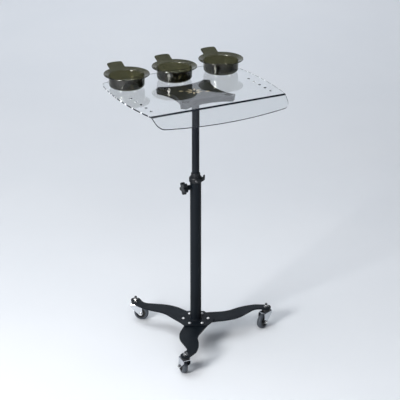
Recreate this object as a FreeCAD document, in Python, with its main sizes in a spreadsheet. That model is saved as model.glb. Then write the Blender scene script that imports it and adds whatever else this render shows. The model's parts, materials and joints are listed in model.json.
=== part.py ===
import FreeCAD, Part
import math
import os
import Sketcher
from FreeCAD import Placement, Rotation, Vector

# A tray cart on one telescopic column: three flat legs with swivel casters, a bolted hub,
# an outer and an inner tube with a collar and a clamping knob, and a clear tray with three bowls.
# Frame: the column's axis is Z, the floor is z = 0, the tray's lip is towards -Y. Millimetres.

doc = FreeCAD.newDocument("instrument_cart")

# ---------------------------------------------------------------- driving dimensions

DIMENSIONS = [
    ("leg_top", 74.5, "height of the legs' upper face above the floor"),
    ("leg_thickness", 5.0, "legs are cut from flat plate"),
    ("front_leg_angle", 234.5, "direction of the first leg's tip, degrees from +X"),
    ("tip_radius", 270.0, "column axis to caster stem"),
    ("tip_disc", 17.0, "radius of the round end of a leg"),
    ("valley_along", 127.0, "centre of the hollow curve in the leg's left edge"),
    ("valley_across", 119.2, "the same, across the leg"),
    ("valley_curve", 95.0, "its radius"),
    ("crest_along", 205.0, "centre of the full curve in the left edge"),
    ("crest_across", -137.6, "the same, across the leg"),
    ("crest_curve", 173.0, "its radius"),
    ("shoulder_along", 233.0, "centre of the curve that ends the left edge"),
    ("shoulder_across", 7.3, "the same, across the leg"),
    ("shoulder_curve", 26.0, "its radius"),
    ("bulge_along", 112.0, "centre of the full curve in the right edge"),
    ("bulge_across", 88.7, "the same, across the leg"),
    ("bulge_curve", 130.0, "its radius"),
    ("neck_along", 229.0, "centre of the curve that ends the right edge"),
    ("neck_across", -34.8, "the same, across the leg"),
    ("neck_curve", 34.0, "its radius"),
    ("root_turn", 7.6, "degrees from a leg's tip direction to its root's axis"),
    ("root_left_along", 30.0, "left corner of the root's straight end"),
    ("root_left_across", 47.0, "the same, across the leg"),
    ("root_right_along", 27.0, "right corner of the root's straight end"),
    ("root_right_across", -30.0, "the same, across the leg"),
    ("hub_thickness", 5.0, "hexagonal plate on top of the three leg roots"),
    ("hub_corner", 67.0, "column axis to the plate's corners"),
    ("hub_corner_turn", 33.5, "degrees from a root's axis to its two corners"),
    ("hub_bolt_circle", 43.0, "radius of the circle of six bolts"),
    ("hub_bolt", 3.0, "bolt shank radius"),
    ("hub_bolt_hole", 3.3, "clearance hole radius"),
    ("hub_bolt_head", 5.6, "button head radius"),
    ("hub_bolt_head_height", 3.3, "button head height"),
    ("hub_nut_height", 5.0, "hexagon nut under a leg root"),
    ("hub_nut_corner", 5.77, "nut centre to its corners"),
    ("outer_tube", 19.05, "lower tube, outer radius"),
    ("inner_tube", 12.7, "upper tube, outer radius"),
    ("tube_wall", 1.5, "wall of both tubes"),
    ("outer_tube_top", 608.5, "upper end of the lower tube"),
    ("weld_bead", 3.0, "fillet weld where the tube stands on the hub plate"),
    ("inner_tube_bottom", 379.0, "lower end of the upper tube at rest"),
    ("bush_length", 30.0, "nylon guide bush on the upper tube's lower end"),
    ("bush_clearance", 0.06, "radial running clearance of the guide bushes"),
    ("knob_height", 574.0, "height of the clamping screw"),
    ("knob_angle", 178.0, "direction of the clamping screw, degrees from +X"),
    ("boss", 8.5, "radius of the welded boss"),
    ("boss_end", 32.5, "column axis to the boss's end"),
    ("clamp_screw", 4.0, "clamping screw radius"),
    ("clamp_screw_clearance", 0.05, "radial clearance of the screw in its boss"),
    ("clamp_pad", 3.8, "radius of the pad on the screw's end"),
    ("clamp_pad_inner", 12.85, "column axis to the pad's pressing face"),
    ("clamp_pad_length", 3.6, "pad thickness along the screw"),
    ("knob_inner", 37.0, "column axis to the knob's inner face"),
    ("knob_thickness", 14.0, "knob thickness"),
    ("knob_core", 14.0, "radius of the knob's core"),
    ("knob_lobe", 6.2, "radius of each lobe"),
    ("knob_lobe_circle", 15.6, "knob axis to the centre of a lobe"),
    ("knob_lobes", 5, "number of lobes"),
    ("band", 22.3, "collar band, outer radius"),
    ("band_bottom", 591.0, "lower edge of the collar band"),
    ("band_top", 608.0, "upper edge of the collar band"),
    ("cap_flange", 18.4, "radius of the bush's flange on the tube's end"),
    ("cap_flange_height", 4.0, "flange height"),
    ("cap_neck", 15.8, "radius of the bush's neck"),
    ("cap_top", 624.0, "top of the neck"),
    ("cap_sleeve_bottom", 581.0, "lower end of the bush inside the tube"),
    ("band_screw_angle", 251.0, "direction of the band's screw"),
    ("hook_angle", 331.8, "direction of the hanging hook"),
    ("hook_width", 14.0, "hook width"),
    ("tray_top", 911.9, "height of the tray's upper face"),
    ("tray_thickness", 5.0, "acrylic sheet"),
    ("tray_half_width", 260.5, "middle of the tray to its bowed side, at the widest"),
    ("tray_widest", 10.0, "y of the widest place"),
    ("tray_back", 236.0, "column axis to the back edge, at its middle"),
    ("tray_front", 222.0, "column axis to the lip's edge, at its middle"),
    ("side_curve", 1050.0, "radius of the bowed sides"),
    ("end_curve", 2000.0, "radius of the bowed back and lip"),
    ("tray_corner", 30.0, "radius of the back corners"),
    ("lip_corner", 27.0, "radius of the lip's corners"),
    ("bend_line", 161.0, "column axis to the start of the front bend"),
    ("bend_inner", 8.0, "inside radius of the bend"),
    ("lip_angle", 35.0, "degrees the lip turns down"),
    ("hole", 4.5, "radius of the tool holes"),
    ("hole_row", 220.6, "middle of the tray to each row of holes"),
    ("hole_first", -113.5, "y of the front hole of a row"),
    ("hole_pitch", 36.6, "hole spacing"),
    ("hole_count", 5, "holes in a row"),
    ("bond_pad_thickness", 0.5, "foam tape between bracket and tray"),
    ("bond_pad", 13.0, "radius of a tape disc"),
    ("bond_pad_circle", 112.0, "column axis to a tape disc"),
    ("bracket_tip_far", 97.5, "arm corner centres, far coordinate"),
    ("bracket_tip_near", 85.0, "arm corner centres, near coordinate"),
    ("bracket_corner", 5.0, "rounding of the arm's corners"),
    ("bracket_hollow", 238.5, "column axis to the centre of a hollow side's curve"),
    ("bracket_hollow_curve", 159.5, "its radius"),
    ("skirt_tip_far", 88.0, "the same centres for the space inside the skirt"),
    ("skirt_tip_near", 80.0, "near coordinate"),
    ("skirt_corner", 3.0, "corner rounding"),
    ("skirt_hollow_curve", 166.0, "radius of the hollow sides"),
    ("bracket_depth", 19.0, "depth of the bracket's skirt"),
    ("bracket_wall", 4.0, "thickness of the top"),
    ("bracket_taper", 9.0, "degrees the skirt draws in"),
    ("socket", 17.0, "radius of the tube socket inside the skirt"),
    ("sleeve", 14.4, "radius of the socket's lower sleeve"),
    ("sleeve_length", 32.0, "depth of the sleeve below the bracket's top"),
    ("bowl_pitch", 178.0, "spacing of the three bowls"),
    ("bowl_row", 142.2, "y of the bowls' centres"),
    ("bowl_shift", -4.1, "x of the middle bowl's centre"),
    ("bowl_foot_first", 39.7, "direction of a bowl's first foot, degrees from +X"),
    ("bowl_foot", 2.5, "height of a bumper foot"),
    ("bowl_foot_radius", 4.5, "radius of a bumper foot"),
    ("bowl_foot_circle", 46.0, "bowl centre to a foot"),
    ("bowl_wall", 2.4, "bowl wall"),
    ("bowl_body", 60.5, "bowl's outer radius under its rim"),
    ("bowl_base", 59.5, "outer radius of the base before rounding"),
    ("bowl_round", 11.5, "rounding between base and wall"),
    ("bowl_inner_rim", 43.2, "height of the rim's inner edge above the tray"),
    ("bowl_rim", 76.0, "rim's outer radius"),
    ("bowl_rim_height", 48.8, "height of the rim's outer edge above the tray"),
    ("bowl_tab_half", 28.0, "half of the handle tab's width"),
    ("bowl_tab_corner", 7.0, "rounding of the tab's corners"),
    ("bowl_tab_end", 97.0, "bowl centre to the tab's end"),
    ("bowl_tab_height", 59.8, "height of the tab's end above the tray"),
    ("wheel", 26.0, "caster wheel radius"),
    ("wheel_half_width", 9.0, "half of the tyre's width"),
    ("tyre_inner", 17.5, "radius of the wheel's hard core"),
    ("trail", 21.0, "stem axis to wheel axle, seen from above"),
    ("axle", 3.0, "axle radius"),
    ("axle_clearance", 0.06, "radial clearance of the wheel on its axle"),
    ("fork_half_width", 14.2, "half of the fork's outer width"),
    ("fork_wall", 2.3, "fork sheet thickness"),
    ("fork_top", 62.0, "height of the fork's crown"),
    ("fork_shoulder", 6.0, "outer radius of the crown's shoulders"),
    ("fork_back", 16.0, "stem axis to the crown's rear edge"),
    ("stem", 4.0, "caster stem radius"),
    ("stem_top", 88.0, "upper end of the stem"),
    ("stem_nut_height", 6.5, "hexagon nut on the leg's tip"),
    ("stem_nut_corner", 7.5, "nut centre to its corners"),
    ("washer", 8.5, "washer radius"),
    ("washer_thickness", 1.6, "washer thickness"),
    ("cup", 15.5, "bearing cup, outer radius"),
    ("cup_bottom", 62.8, "lower edge of the bearing cup"),
    ("ball", 2.5, "ball radius"),
    ("ball_circle", 11.2, "radius of the circle of balls"),
    ("ball_count", 9, "balls in a caster"),
    ("left_swivel", 318.0, "direction of the left caster's wheel from its stem"),
    ("right_swivel", 204.0, "the same for the right caster"),
    ("front_swivel", 84.0, "the same for the front caster"),
]

sheet = doc.addObject("Spreadsheet::Sheet", "dims")
for row, (alias, size, meaning) in enumerate(DIMENSIONS, start=1):
    sheet.set(f"A{row}", str(size))
    sheet.setAlias(f"A{row}", alias)
    sheet.set(f"B{row}", meaning)
doc.recompute()

TOP_OF_HUB = "(dims.leg_top + dims.hub_thickness)"
LEG_UNDERSIDE = "(dims.leg_top - dims.leg_thickness)"
TRAY_UNDERSIDE = "(dims.tray_top - dims.tray_thickness)"
BRACKET_TOP = f"({TRAY_UNDERSIDE} - dims.bond_pad_thickness)"


def value(expression):
    """The number that an expression on the sheet gives."""
    if isinstance(expression, (int, float)):
        return float(expression)
    number = sheet.evalExpression(expression)
    return float(getattr(number, "Value", number))


# ---------------------------------------------------------------- sketch helpers

def new_body(label):
    body = doc.addObject("PartDesign::Body", label)
    body.Label = label
    return body


def new_sketch(body, plane, name, height=None):
    """A sketch on one of the body's own origin planes, raised along its normal by height."""
    sketch = body.newObject("Sketcher::SketchObject", f"{body.Name}_{name}")
    support = next(f for f in body.Origin.OriginFeatures if f.Role == plane)
    sketch.AttachmentSupport = (support, [""])
    sketch.MapMode = "FlatFace"
    if height is not None:
        sketch.AttachmentOffset = Placement(Vector(0, 0, value(height)), Rotation())
        sketch.setExpression("AttachmentOffset.Base.z", str(height))
    return sketch


def fix(sketch, kind, first, expression):
    """Adds one dimension and binds it to the sheet."""
    index = sketch.addConstraint(Sketcher.Constraint(kind, *first, value(expression)))
    if not isinstance(expression, (int, float)):
        sketch.setExpression(f"Constraints[{index}]", expression)


def fix_point(sketch, geometry, vertex, x, y):
    for kind, coordinate, axis in (("DistanceX", x, -2), ("DistanceY", y, -1)):
        if abs(value(coordinate)) < 1e-9:
            sketch.addConstraint(Sketcher.Constraint("PointOnObject", geometry, vertex, axis))
        else:
            fix(sketch, kind, (-1, 1, geometry, vertex), coordinate)


def outline(sketch, elements):
    """A closed loop of corners (x, y) and arcs (x, y, radius, turn), joined by tangent lines.

    turn is 1 for an arc walked anticlockwise and -1 for clockwise. A radius or a centre that
    isn't text only places the arc, and tangency to its neighbours then fixes it."""
    shapes = []
    for element in elements:
        x, y = value(element[0]), value(element[1])
        radius = value(element[2]) if len(element) > 2 else 0.0
        turn = element[3] if len(element) > 2 else 1
        shapes.append((x, y, radius * turn))
    joints = []
    for (x1, y1, r1), (x2, y2, r2) in zip(shapes, shapes[1:] + shapes[:1]):
        across = r2 - r1
        length = math.sqrt(max((x2 - x1) ** 2 + (y2 - y1) ** 2 - across ** 2, 0.0))
        heading = math.atan2(y2 - y1, x2 - x1) - math.atan2(across, length)
        normal = Vector(-math.sin(heading), math.cos(heading), 0)
        joints.append((Vector(x1, y1, 0) - normal * r1, Vector(x2, y2, 0) - normal * r2, length))
    pieces = []
    for index, (x, y, radius) in enumerate(shapes):
        start, end = joints[index - 1][1], joints[index][0]
        if radius:
            centre = Vector(x, y, 0)
            angles = [math.atan2(point.y - y, point.x - x) for point in (start, end)]
            if radius < 0:
                angles.reverse()
            circle = Part.Circle(centre, Vector(0, 0, 1), abs(radius))
            arc = sketch.addGeometry(Part.ArcOfCircle(circle, angles[0], angles[1]))
            bound = [not isinstance(part, float) for part in elements[index][:3]]
            if bound[0] and bound[1]:
                fix_point(sketch, arc, 3, elements[index][0], elements[index][1])
            if bound[2]:
                fix(sketch, "Radius", (arc,), elements[index][2])
            pieces.append((arc, 1 if radius > 0 else 2, 2 if radius > 0 else 1, True, index))
        if joints[index][2] > 0.05:
            line = sketch.addGeometry(Part.LineSegment(joints[index][0], joints[index][1]))
            pieces.append((line, 1, 2, False, index))
    for before, after in zip(pieces, pieces[1:] + pieces[:1]):
        curved = before[3] or after[3]
        kind = "Tangent" if curved else "Coincident"
        sketch.addConstraint(Sketcher.Constraint(kind, before[0], before[2], after[0], after[1]))
        if not curved:
            corner = elements[after[4]]
            fix_point(sketch, after[0], after[1], corner[0], corner[1])


def circle(sketch, x, y, radius):
    centre = Vector(value(x), value(y), 0)
    ring = sketch.addGeometry(Part.Circle(centre, Vector(0, 0, 1), value(radius)))
    fix_point(sketch, ring, 3, x, y)
    fix(sketch, "Radius", (ring,), radius)


def far_frame(sketch, middle_x=0.0, middle_y=0.0, half=400.0):
    """A square far outside the part, so that a pocket takes away all outside a second loop."""
    left, right = middle_x - half, middle_x + half
    bottom, top = middle_y - half, middle_y + half
    outline(sketch, [(left, bottom), (right, bottom), (right, top), (left, top)])


# ---------------------------------------------------------------- feature helpers

def pad(body, sketch, length, both_ways=False, reverse=False, taper=None):
    feature = body.newObject("PartDesign::Pad", f"{sketch.Name}_pad")
    feature.Profile = sketch
    feature.Length = value(length)
    feature.setExpression("Length", str(length))
    feature.Midplane = both_ways
    feature.Reversed = reverse
    if taper is not None:
        feature.TaperAngle = value(taper)
        feature.setExpression("TaperAngle", taper)
    doc.recompute()
    return feature


def cut(body, sketch, length=None, both_ways=False, reverse=False, taper=None):
    """A pocket of a given length, or through everything. It has to take material away."""
    before = body.Shape.Volume
    feature = body.newObject("PartDesign::Pocket", f"{sketch.Name}_pocket")
    feature.Profile = sketch
    if length is None:
        feature.Type = "ThroughAll"
    else:
        feature.Length = value(length)
        feature.setExpression("Length", str(length))
    feature.Midplane = both_ways
    feature.Reversed = reverse
    if taper is not None:
        feature.TaperAngle = value(taper)
        feature.setExpression("TaperAngle", taper)
    doc.recompute()
    if not body.Shape.Volume < before - 1e-3:
        raise RuntimeError(f"{feature.Name} removes nothing")
    return feature


def revolve(body, sketch, angle=360.0, axis=None):
    feature = body.newObject("PartDesign::Revolution", f"{sketch.Name}_turned")
    feature.Profile = sketch
    feature.ReferenceAxis = axis or (sketch, ["V_Axis"])
    feature.Angle = value(angle)
    if not isinstance(angle, float):
        feature.setExpression("Angle", angle)
    doc.recompute()
    return feature


def around(body, features, count):
    """Repeats features evenly round the body's Z axis."""
    pattern = body.newObject("PartDesign::PolarPattern", f"{body.Name}_pattern")
    pattern.Originals = features
    z_axis = next(f for f in body.Origin.OriginFeatures if f.Role == "Z_Axis")
    pattern.Axis = (z_axis, [""])
    pattern.Angle = 360.0
    pattern.Occurrences = int(value(count))
    if not isinstance(count, int):
        pattern.setExpression("Occurrences", count)
    body.Tip = pattern
    doc.recompute()
    return pattern


def ease(body, radius, picked, kind="Fillet"):
    """Rounds or bevels the edges of the body's tip for which picked(edge) is true."""
    base = body.Tip
    names = [f"Edge{i}" for i, edge in enumerate(base.Shape.Edges, start=1) if picked(edge)]
    if not names:
        raise RuntimeError(f"{body.Name}: no edge to round")
    feature = body.newObject(f"PartDesign::{kind}", f"{body.Name}_{kind.lower()}_{len(body.Group)}")
    feature.Base = (base, names)
    size = "Radius" if kind == "Fillet" else "Size"
    setattr(feature, size, value(radius))
    if not isinstance(radius, (int, float)):
        feature.setExpression(size, radius)
    doc.recompute()
    if "Invalid" in feature.State:
        raise RuntimeError(f"{feature.Name} did not form")
    return feature


def is_round(edge, radius, height=None):
    """True for a circular edge round Z of a given radius, and height if one is given."""
    curve = edge.Curve
    if not isinstance(curve, Part.Circle) or abs(curve.Radius - radius) > 1e-3:
        return False
    return height is None or abs(curve.Center.z - height) < 1e-3


def is_upright(edge):
    if not isinstance(edge.Curve, Part.Line):
        return False
    return abs(abs(edge.Curve.Direction.z) - 1) < 1e-6


def turned(label, profile):
    """A part turned round Z from a profile of (radius, height) corners and arcs."""
    body = new_body(label)
    sketch = new_sketch(body, "XZ_Plane", "profile")
    outline(sketch, profile)
    revolve(body, sketch)
    return body


def turned_ring(label, profile, distance, count):
    """Equal turned parts in a circle: profile corners are offsets from each part's own axis."""
    body = new_body(label)
    sketch = new_sketch(body, "XZ_Plane", "profile")
    moved = []
    for corner in profile:
        moved.append((f"{distance} + {corner[0]}",) + tuple(corner[1:]))
    outline(sketch, moved)
    start = Vector(value(distance), 0, 0)
    axis = sketch.addGeometry(Part.LineSegment(start, start + Vector(0, 10, 0)), True)
    sketch.addConstraint(Sketcher.Constraint("Vertical", axis))
    fix_point(sketch, axis, 1, distance, 0.0)
    fix(sketch, "DistanceY", (axis, 1, axis, 2), 10.0)
    feature = revolve(body, sketch, axis=(sketch, ["Axis0"]))
    around(body, [feature], count)
    return body


def hexagon(sketch, x, corner_radius):
    corners = []
    for k in range(6):
        turn = 60 * k
        corners.append((f"{x} + {corner_radius} * cos({turn})", f"{corner_radius} * sin({turn})"))
    outline(sketch, corners)


# ---------------------------------------------------------------- frames that parts are placed in

def on_column(angle=0.0, height=0.0):
    return Placement(Vector(0, 0, value(height)), Rotation(Vector(0, 0, 1), value(angle)))


def on_leg(index):
    return on_column(f"dims.front_leg_angle + {120 * index}")


def on_screw():
    """Z points outward along the clamping screw, and X points up."""
    turn = Rotation(Vector(0, 0, 1), value("dims.knob_angle"))
    level = Rotation(Vector(0, 1, 0), 90) * Rotation(Vector(0, 0, 1), 180)
    return Placement(Vector(0, 0, value("dims.knob_height")), turn * level)


def on_caster(index, swivel):
    """Z is the stem's axis, the floor is z = 0 and the wheel is towards +X."""
    angle = math.radians(value(f"dims.front_leg_angle + {120 * index}"))
    reach = value("dims.tip_radius")
    stem = Vector(reach * math.cos(angle), reach * math.sin(angle), 0)
    return Placement(stem, Rotation(Vector(0, 0, 1), value(swivel)))


def on_axle(caster):
    """The wheel's axle becomes Z, with its middle as the origin."""
    middle = Vector(value("dims.trail"), 0, value("dims.wheel"))
    return caster * Placement(middle, Rotation(Vector(1, 0, 0), 90))


def on_bowl(index):
    x = value(f"dims.bowl_shift + dims.bowl_pitch * {index - 1}")
    return Placement(Vector(x, value("dims.bowl_row"), value("dims.tray_top")), Rotation())


# ---------------------------------------------------------------- base: legs, hub and tubes

def leg(label, index):
    """Flat S-curved leg: a straight root under the hub plate and a round end for the stem."""
    body = new_body(label)
    sketch = new_sketch(body, "XY_Plane", "plate", LEG_UNDERSIDE)
    outline(sketch, [
        ("dims.root_left_along", "dims.root_left_across"),
        ("dims.root_right_along", "dims.root_right_across"),
        ("dims.bulge_along", "dims.bulge_across", "dims.bulge_curve", 1),
        ("dims.neck_along", "dims.neck_across", "dims.neck_curve", -1),
        ("dims.tip_radius", "0", "dims.tip_disc", 1),
        ("dims.shoulder_along", "dims.shoulder_across", "dims.shoulder_curve", 1),
        ("dims.crest_along", "dims.crest_across", "dims.crest_curve", 1),
        ("dims.valley_along", "dims.valley_across", "dims.valley_curve", -1),
    ])
    pad(body, sketch, "dims.leg_thickness")
    holes = new_sketch(body, "XY_Plane", "holes")
    circle(holes, "dims.tip_radius", 0.0, "dims.stem + 0.3")
    for side in (-30, 30):
        turn = f"(dims.root_turn + {side})"
        x, y = f"dims.hub_bolt_circle * cos({turn})", f"dims.hub_bolt_circle * sin({turn})"
        circle(holes, x, y, "dims.hub_bolt_hole")
    cut(body, holes, both_ways=True)
    body.Placement = on_leg(index)
    return body


def hub_plate():
    """Hexagonal plate that ties the three legs together, with the bolt holes."""
    body = new_body("hub_plate")
    sketch = new_sketch(body, "XY_Plane", "plate", "dims.leg_top")
    corners = []
    for k in range(3):
        for side in (-1, 1):
            turn = f"(dims.root_turn + {side} * dims.hub_corner_turn + {120 * k})"
            corners.append((f"dims.hub_corner * cos({turn})", f"dims.hub_corner * sin({turn})"))
    outline(sketch, corners)
    pad(body, sketch, "dims.hub_thickness")
    ease(body, 5.0, is_upright)
    holes = new_sketch(body, "XY_Plane", "holes")
    for k in range(6):
        turn = f"(dims.root_turn + {30 + 60 * k})"
        x, y = f"dims.hub_bolt_circle * cos({turn})", f"dims.hub_bolt_circle * sin({turn})"
        circle(holes, x, y, "dims.hub_bolt_hole")
    cut(body, holes, both_ways=True)
    top = value(TOP_OF_HUB)
    ease(body, 0.8, lambda edge: edge.BoundBox.ZMin > top - 1e-6 and edge.Length > 7.0
         and not is_round(edge, value("dims.hub_bolt_hole")))
    body.Placement = on_leg(0)
    return body


def hub_bolts():
    """Six button-head bolts through the hub plate and the leg roots."""
    bottom = f"({LEG_UNDERSIDE} - dims.hub_nut_height - 1.5)"
    body = turned_ring("hub_bolts", [
        ("0", bottom),
        ("dims.hub_bolt", bottom),
        ("dims.hub_bolt", TOP_OF_HUB),
        ("dims.hub_bolt_head", TOP_OF_HUB),
        ("dims.hub_bolt_head", f"{TOP_OF_HUB} + 0.9"),
        ("dims.hub_bolt_head * 0.62", f"{TOP_OF_HUB} + dims.hub_bolt_head_height"),
        ("2.0", f"{TOP_OF_HUB} + dims.hub_bolt_head_height"),
        ("1.6", f"{TOP_OF_HUB} + 1.4"),
        ("0", f"{TOP_OF_HUB} + 1.4"),
    ], "dims.hub_bolt_circle", 6)
    body.Placement = on_column("dims.front_leg_angle + dims.root_turn + 30")
    return body


def hub_nuts():
    body = new_body("hub_nuts")
    sketch = new_sketch(body, "XY_Plane", "nut", LEG_UNDERSIDE)
    hexagon(sketch, "dims.hub_bolt_circle", "dims.hub_nut_corner")
    circle(sketch, "dims.hub_bolt_circle", 0.0, "dims.hub_bolt")
    feature = pad(body, sketch, "dims.hub_nut_height", reverse=True)
    around(body, [feature], 6)
    body.Placement = on_column("dims.front_leg_angle + dims.root_turn + 30")
    return body


def lower_tube():
    """Lower tube, welded to the hub plate, with a hole for the clamping screw."""
    inner = "dims.outer_tube - dims.tube_wall"
    body = turned("outer_tube", [
        (inner, TOP_OF_HUB),
        ("dims.outer_tube + dims.weld_bead", TOP_OF_HUB),
        ("dims.outer_tube", f"{TOP_OF_HUB} + dims.weld_bead"),
        ("dims.outer_tube", "dims.outer_tube_top"),
        (inner, "dims.outer_tube_top"),
    ])
    hole = new_sketch(body, "YZ_Plane", "hole")
    circle(hole, 0.0, "dims.knob_height", "dims.clamp_screw + 0.3")
    cut(body, hole, "dims.outer_tube + 5", reverse=True)
    body.Placement = on_column("dims.knob_angle")
    return body


def upper_tube():
    inner = "dims.inner_tube - dims.tube_wall"
    top = f"{BRACKET_TOP} - dims.bracket_wall"
    return turned("inner_tube", [
        (inner, "dims.inner_tube_bottom"),
        ("dims.inner_tube", "dims.inner_tube_bottom"),
        ("dims.inner_tube", top),
        (inner, top),
    ])


def guide_bush():
    """Nylon bush that the upper tube's lower end turns in and that slides in the lower tube."""
    bore = "dims.inner_tube + dims.bush_clearance"
    outer = "dims.outer_tube - dims.tube_wall - dims.bush_clearance"
    floor = "dims.inner_tube_bottom - 3"
    top = "dims.inner_tube_bottom + dims.bush_length"
    return turned("guide_bush", [
        ("4.0", floor),
        (f"{outer} - 1", floor),
        (outer, f"{floor} + 2"),
        (outer, f"{top} - 1.5"),
        (f"{outer} - 1", top),
        (bore, top),
        (bore, "dims.inner_tube_bottom - 0.3"),
        ("4.0", "dims.inner_tube_bottom - 0.3"),
    ])


def retaining_ring():
    """Spring ring on the upper tube, just above the guide bush."""
    bottom = "(dims.inner_tube_bottom + dims.bush_length + 0.3)"
    return turned("bush_ring", [
        ("dims.inner_tube", bottom),
        ("dims.inner_tube + 1.8", bottom),
        ("dims.inner_tube + 1.8", f"{bottom} + 1.5"),
        ("dims.inner_tube", f"{bottom} + 1.5"),
    ])


# ---------------------------------------------------------------- collar, hook and clamping knob

def collar_bush():
    """Plastic bush in the lower tube's mouth: sleeve, flange and chamfered neck."""
    bore = "dims.inner_tube + dims.bush_clearance"
    sleeve = "dims.outer_tube - dims.tube_wall"
    shelf = "dims.outer_tube_top + dims.cap_flange_height"
    body = turned("collar_bush", [
        (bore, "dims.cap_sleeve_bottom"),
        (f"{sleeve} - 0.8", "dims.cap_sleeve_bottom"),
        (sleeve, "dims.cap_sleeve_bottom + 3"),
        (sleeve, "dims.outer_tube_top"),
        ("dims.cap_flange", "dims.outer_tube_top"),
        ("dims.cap_flange", f"{shelf} - 1.2"),
        ("dims.cap_flange - 1.2", shelf),
        ("dims.cap_neck", shelf),
        ("dims.cap_neck", "dims.cap_top - 2"),
        ("dims.cap_neck - 1.8", "dims.cap_top"),
        (bore, "dims.cap_top"),
    ])
    return body


def collar_band():
    """Rounded band clamped round the top of the lower tube."""
    body = turned("collar_band", [
        ("dims.outer_tube", "dims.band_bottom"),
        ("dims.band - 1.4", "dims.band_bottom"),
        ("dims.band", "dims.band_bottom + 3"),
        ("dims.band", "dims.band_top - 3"),
        ("dims.band - 1.4", "dims.band_top"),
        ("dims.outer_tube", "dims.band_top"),
    ])
    edge_radius = value("dims.band")
    ease(body, 2.0, lambda edge: is_round(edge, edge_radius))
    hole = new_sketch(body, "YZ_Plane", "hole")
    circle(hole, 0.0, "(dims.band_bottom + dims.band_top) / 2", "2.0")
    cut(body, hole, "dims.band + 5", reverse=True)
    body.Placement = on_column("dims.band_screw_angle")
    return body


def band_screw():
    """Domed screw that tightens the band. Its own Z runs out from the column."""
    body = turned("band_screw", [
        ("0", "dims.outer_tube + 0.2"),
        ("2.0", "dims.outer_tube + 0.2"),
        ("2.0", "dims.band + 0.1"),
        ("4.6", "dims.band + 0.1"),
        ("4.6", "dims.band + 1.2"),
        ("3.0", "dims.band + 2.6"),
        ("0", "dims.band + 2.9"),
    ])
    height = (value("dims.band_bottom") + value("dims.band_top")) / 2
    out = Rotation(Vector(0, 0, 1), value("dims.band_screw_angle")) * Rotation(Vector(0, 1, 0), 90)
    body.Placement = Placement(Vector(0, 0, height), out)
    return body


def hanging_hook():
    """Short upturned hook on the band's side."""
    body = new_body("side_hook")
    sketch = new_sketch(body, "XZ_Plane", "profile")
    foot = "dims.band - 0.6"
    outline(sketch, [
        (foot, "dims.band_bottom + 3.2"),
        ("dims.band + 1.7", "dims.band_bottom + 3.2"),
        ("dims.band + 8.4", "dims.band_bottom + 9.5"),
        ("dims.band + 9.4", "dims.band_top + 4.0"),
        ("dims.band + 6.6", "dims.band_top + 6.0"),
        ("dims.band + 3.2", "dims.band_top + 3.4"),
        ("dims.band + 2.0", "dims.band_top - 1.5"),
        (foot, "dims.band_top - 3.2"),
    ])
    pad(body, sketch, "dims.hook_width", both_ways=True)
    ring = new_sketch(body, "XY_Plane", "seat")
    circle(ring, 0.0, 0.0, "dims.band")
    cut(body, ring, both_ways=True)
    outer = value("dims.band") + 1.0
    ease(body, 1.4, lambda edge: edge.BoundBox.XMin > outer and edge.BoundBox.YLength > 5)
    body.Placement = on_column("dims.hook_angle")
    return body


def knob_boss():
    """Threaded boss welded to the lower tube."""
    body = turned("knob_boss", [
        ("dims.clamp_screw + dims.clamp_screw_clearance", "10.0"),
        ("dims.boss", "10.0"),
        ("dims.boss", "dims.boss_end - 1"),
        ("dims.boss - 1", "dims.boss_end"),
        ("dims.clamp_screw + dims.clamp_screw_clearance", "dims.boss_end"),
    ])
    saddle = new_sketch(body, "YZ_Plane", "saddle")
    circle(saddle, 0.0, 0.0, "dims.outer_tube")
    cut(body, saddle, both_ways=True)
    body.Placement = on_screw()
    return body


def clamp_screw():
    inner = "dims.clamp_pad_inner + dims.clamp_pad_length + 0.05"
    body = turned("clamp_screw", [
        ("0", inner),
        ("dims.clamp_screw - 0.8", inner),
        ("dims.clamp_screw", f"{inner} + 1"),
        ("dims.clamp_screw", "dims.knob_inner + 9"),
        ("0", "dims.knob_inner + 9"),
    ])
    body.Placement = on_screw()
    return body


def clamp_pad():
    outer = "dims.clamp_pad_inner + dims.clamp_pad_length"
    body = turned("clamp_pad", [
        ("0", "dims.clamp_pad_inner"),
        ("dims.clamp_pad - 0.6", "dims.clamp_pad_inner"),
        ("dims.clamp_pad", "dims.clamp_pad_inner + 0.6"),
        ("dims.clamp_pad", outer),
        ("0", outer),
    ])
    body.Placement = on_screw()
    return body


def star_knob():
    """Moulded knob: a core, a collar towards the boss and five rounded lobes."""
    body = new_body("star_knob")
    core = new_sketch(body, "XY_Plane", "core", "dims.knob_inner")
    circle(core, 0.0, 0.0, "dims.knob_core")
    pad(body, core, "dims.knob_thickness")
    lobe = new_sketch(body, "XY_Plane", "lobe", "dims.knob_inner")
    circle(lobe, "dims.knob_lobe_circle", 0.0, "dims.knob_lobe")
    feature = pad(body, lobe, "dims.knob_thickness")
    around(body, [feature], "dims.knob_lobes")
    ease(body, 1.6, lambda edge: is_upright(edge) and edge.Length > 5)
    inner, outer = value("dims.knob_inner"), value("dims.knob_inner + dims.knob_thickness")
    ease(body, 2.6, lambda edge: abs(edge.BoundBox.ZMin - outer) < 1e-6)
    ease(body, 1.4, lambda edge: abs(edge.BoundBox.ZMax - inner) < 1e-6)
    bore = new_sketch(body, "XY_Plane", "bore", "dims.knob_inner")
    circle(bore, 0.0, 0.0, "dims.clamp_screw")
    cut(body, bore, "9.0", reverse=True)
    body.Placement = on_screw() * Placement(Vector(), Rotation(Vector(0, 0, 1), 40))
    return body


# ---------------------------------------------------------------- tray and bracket

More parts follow.
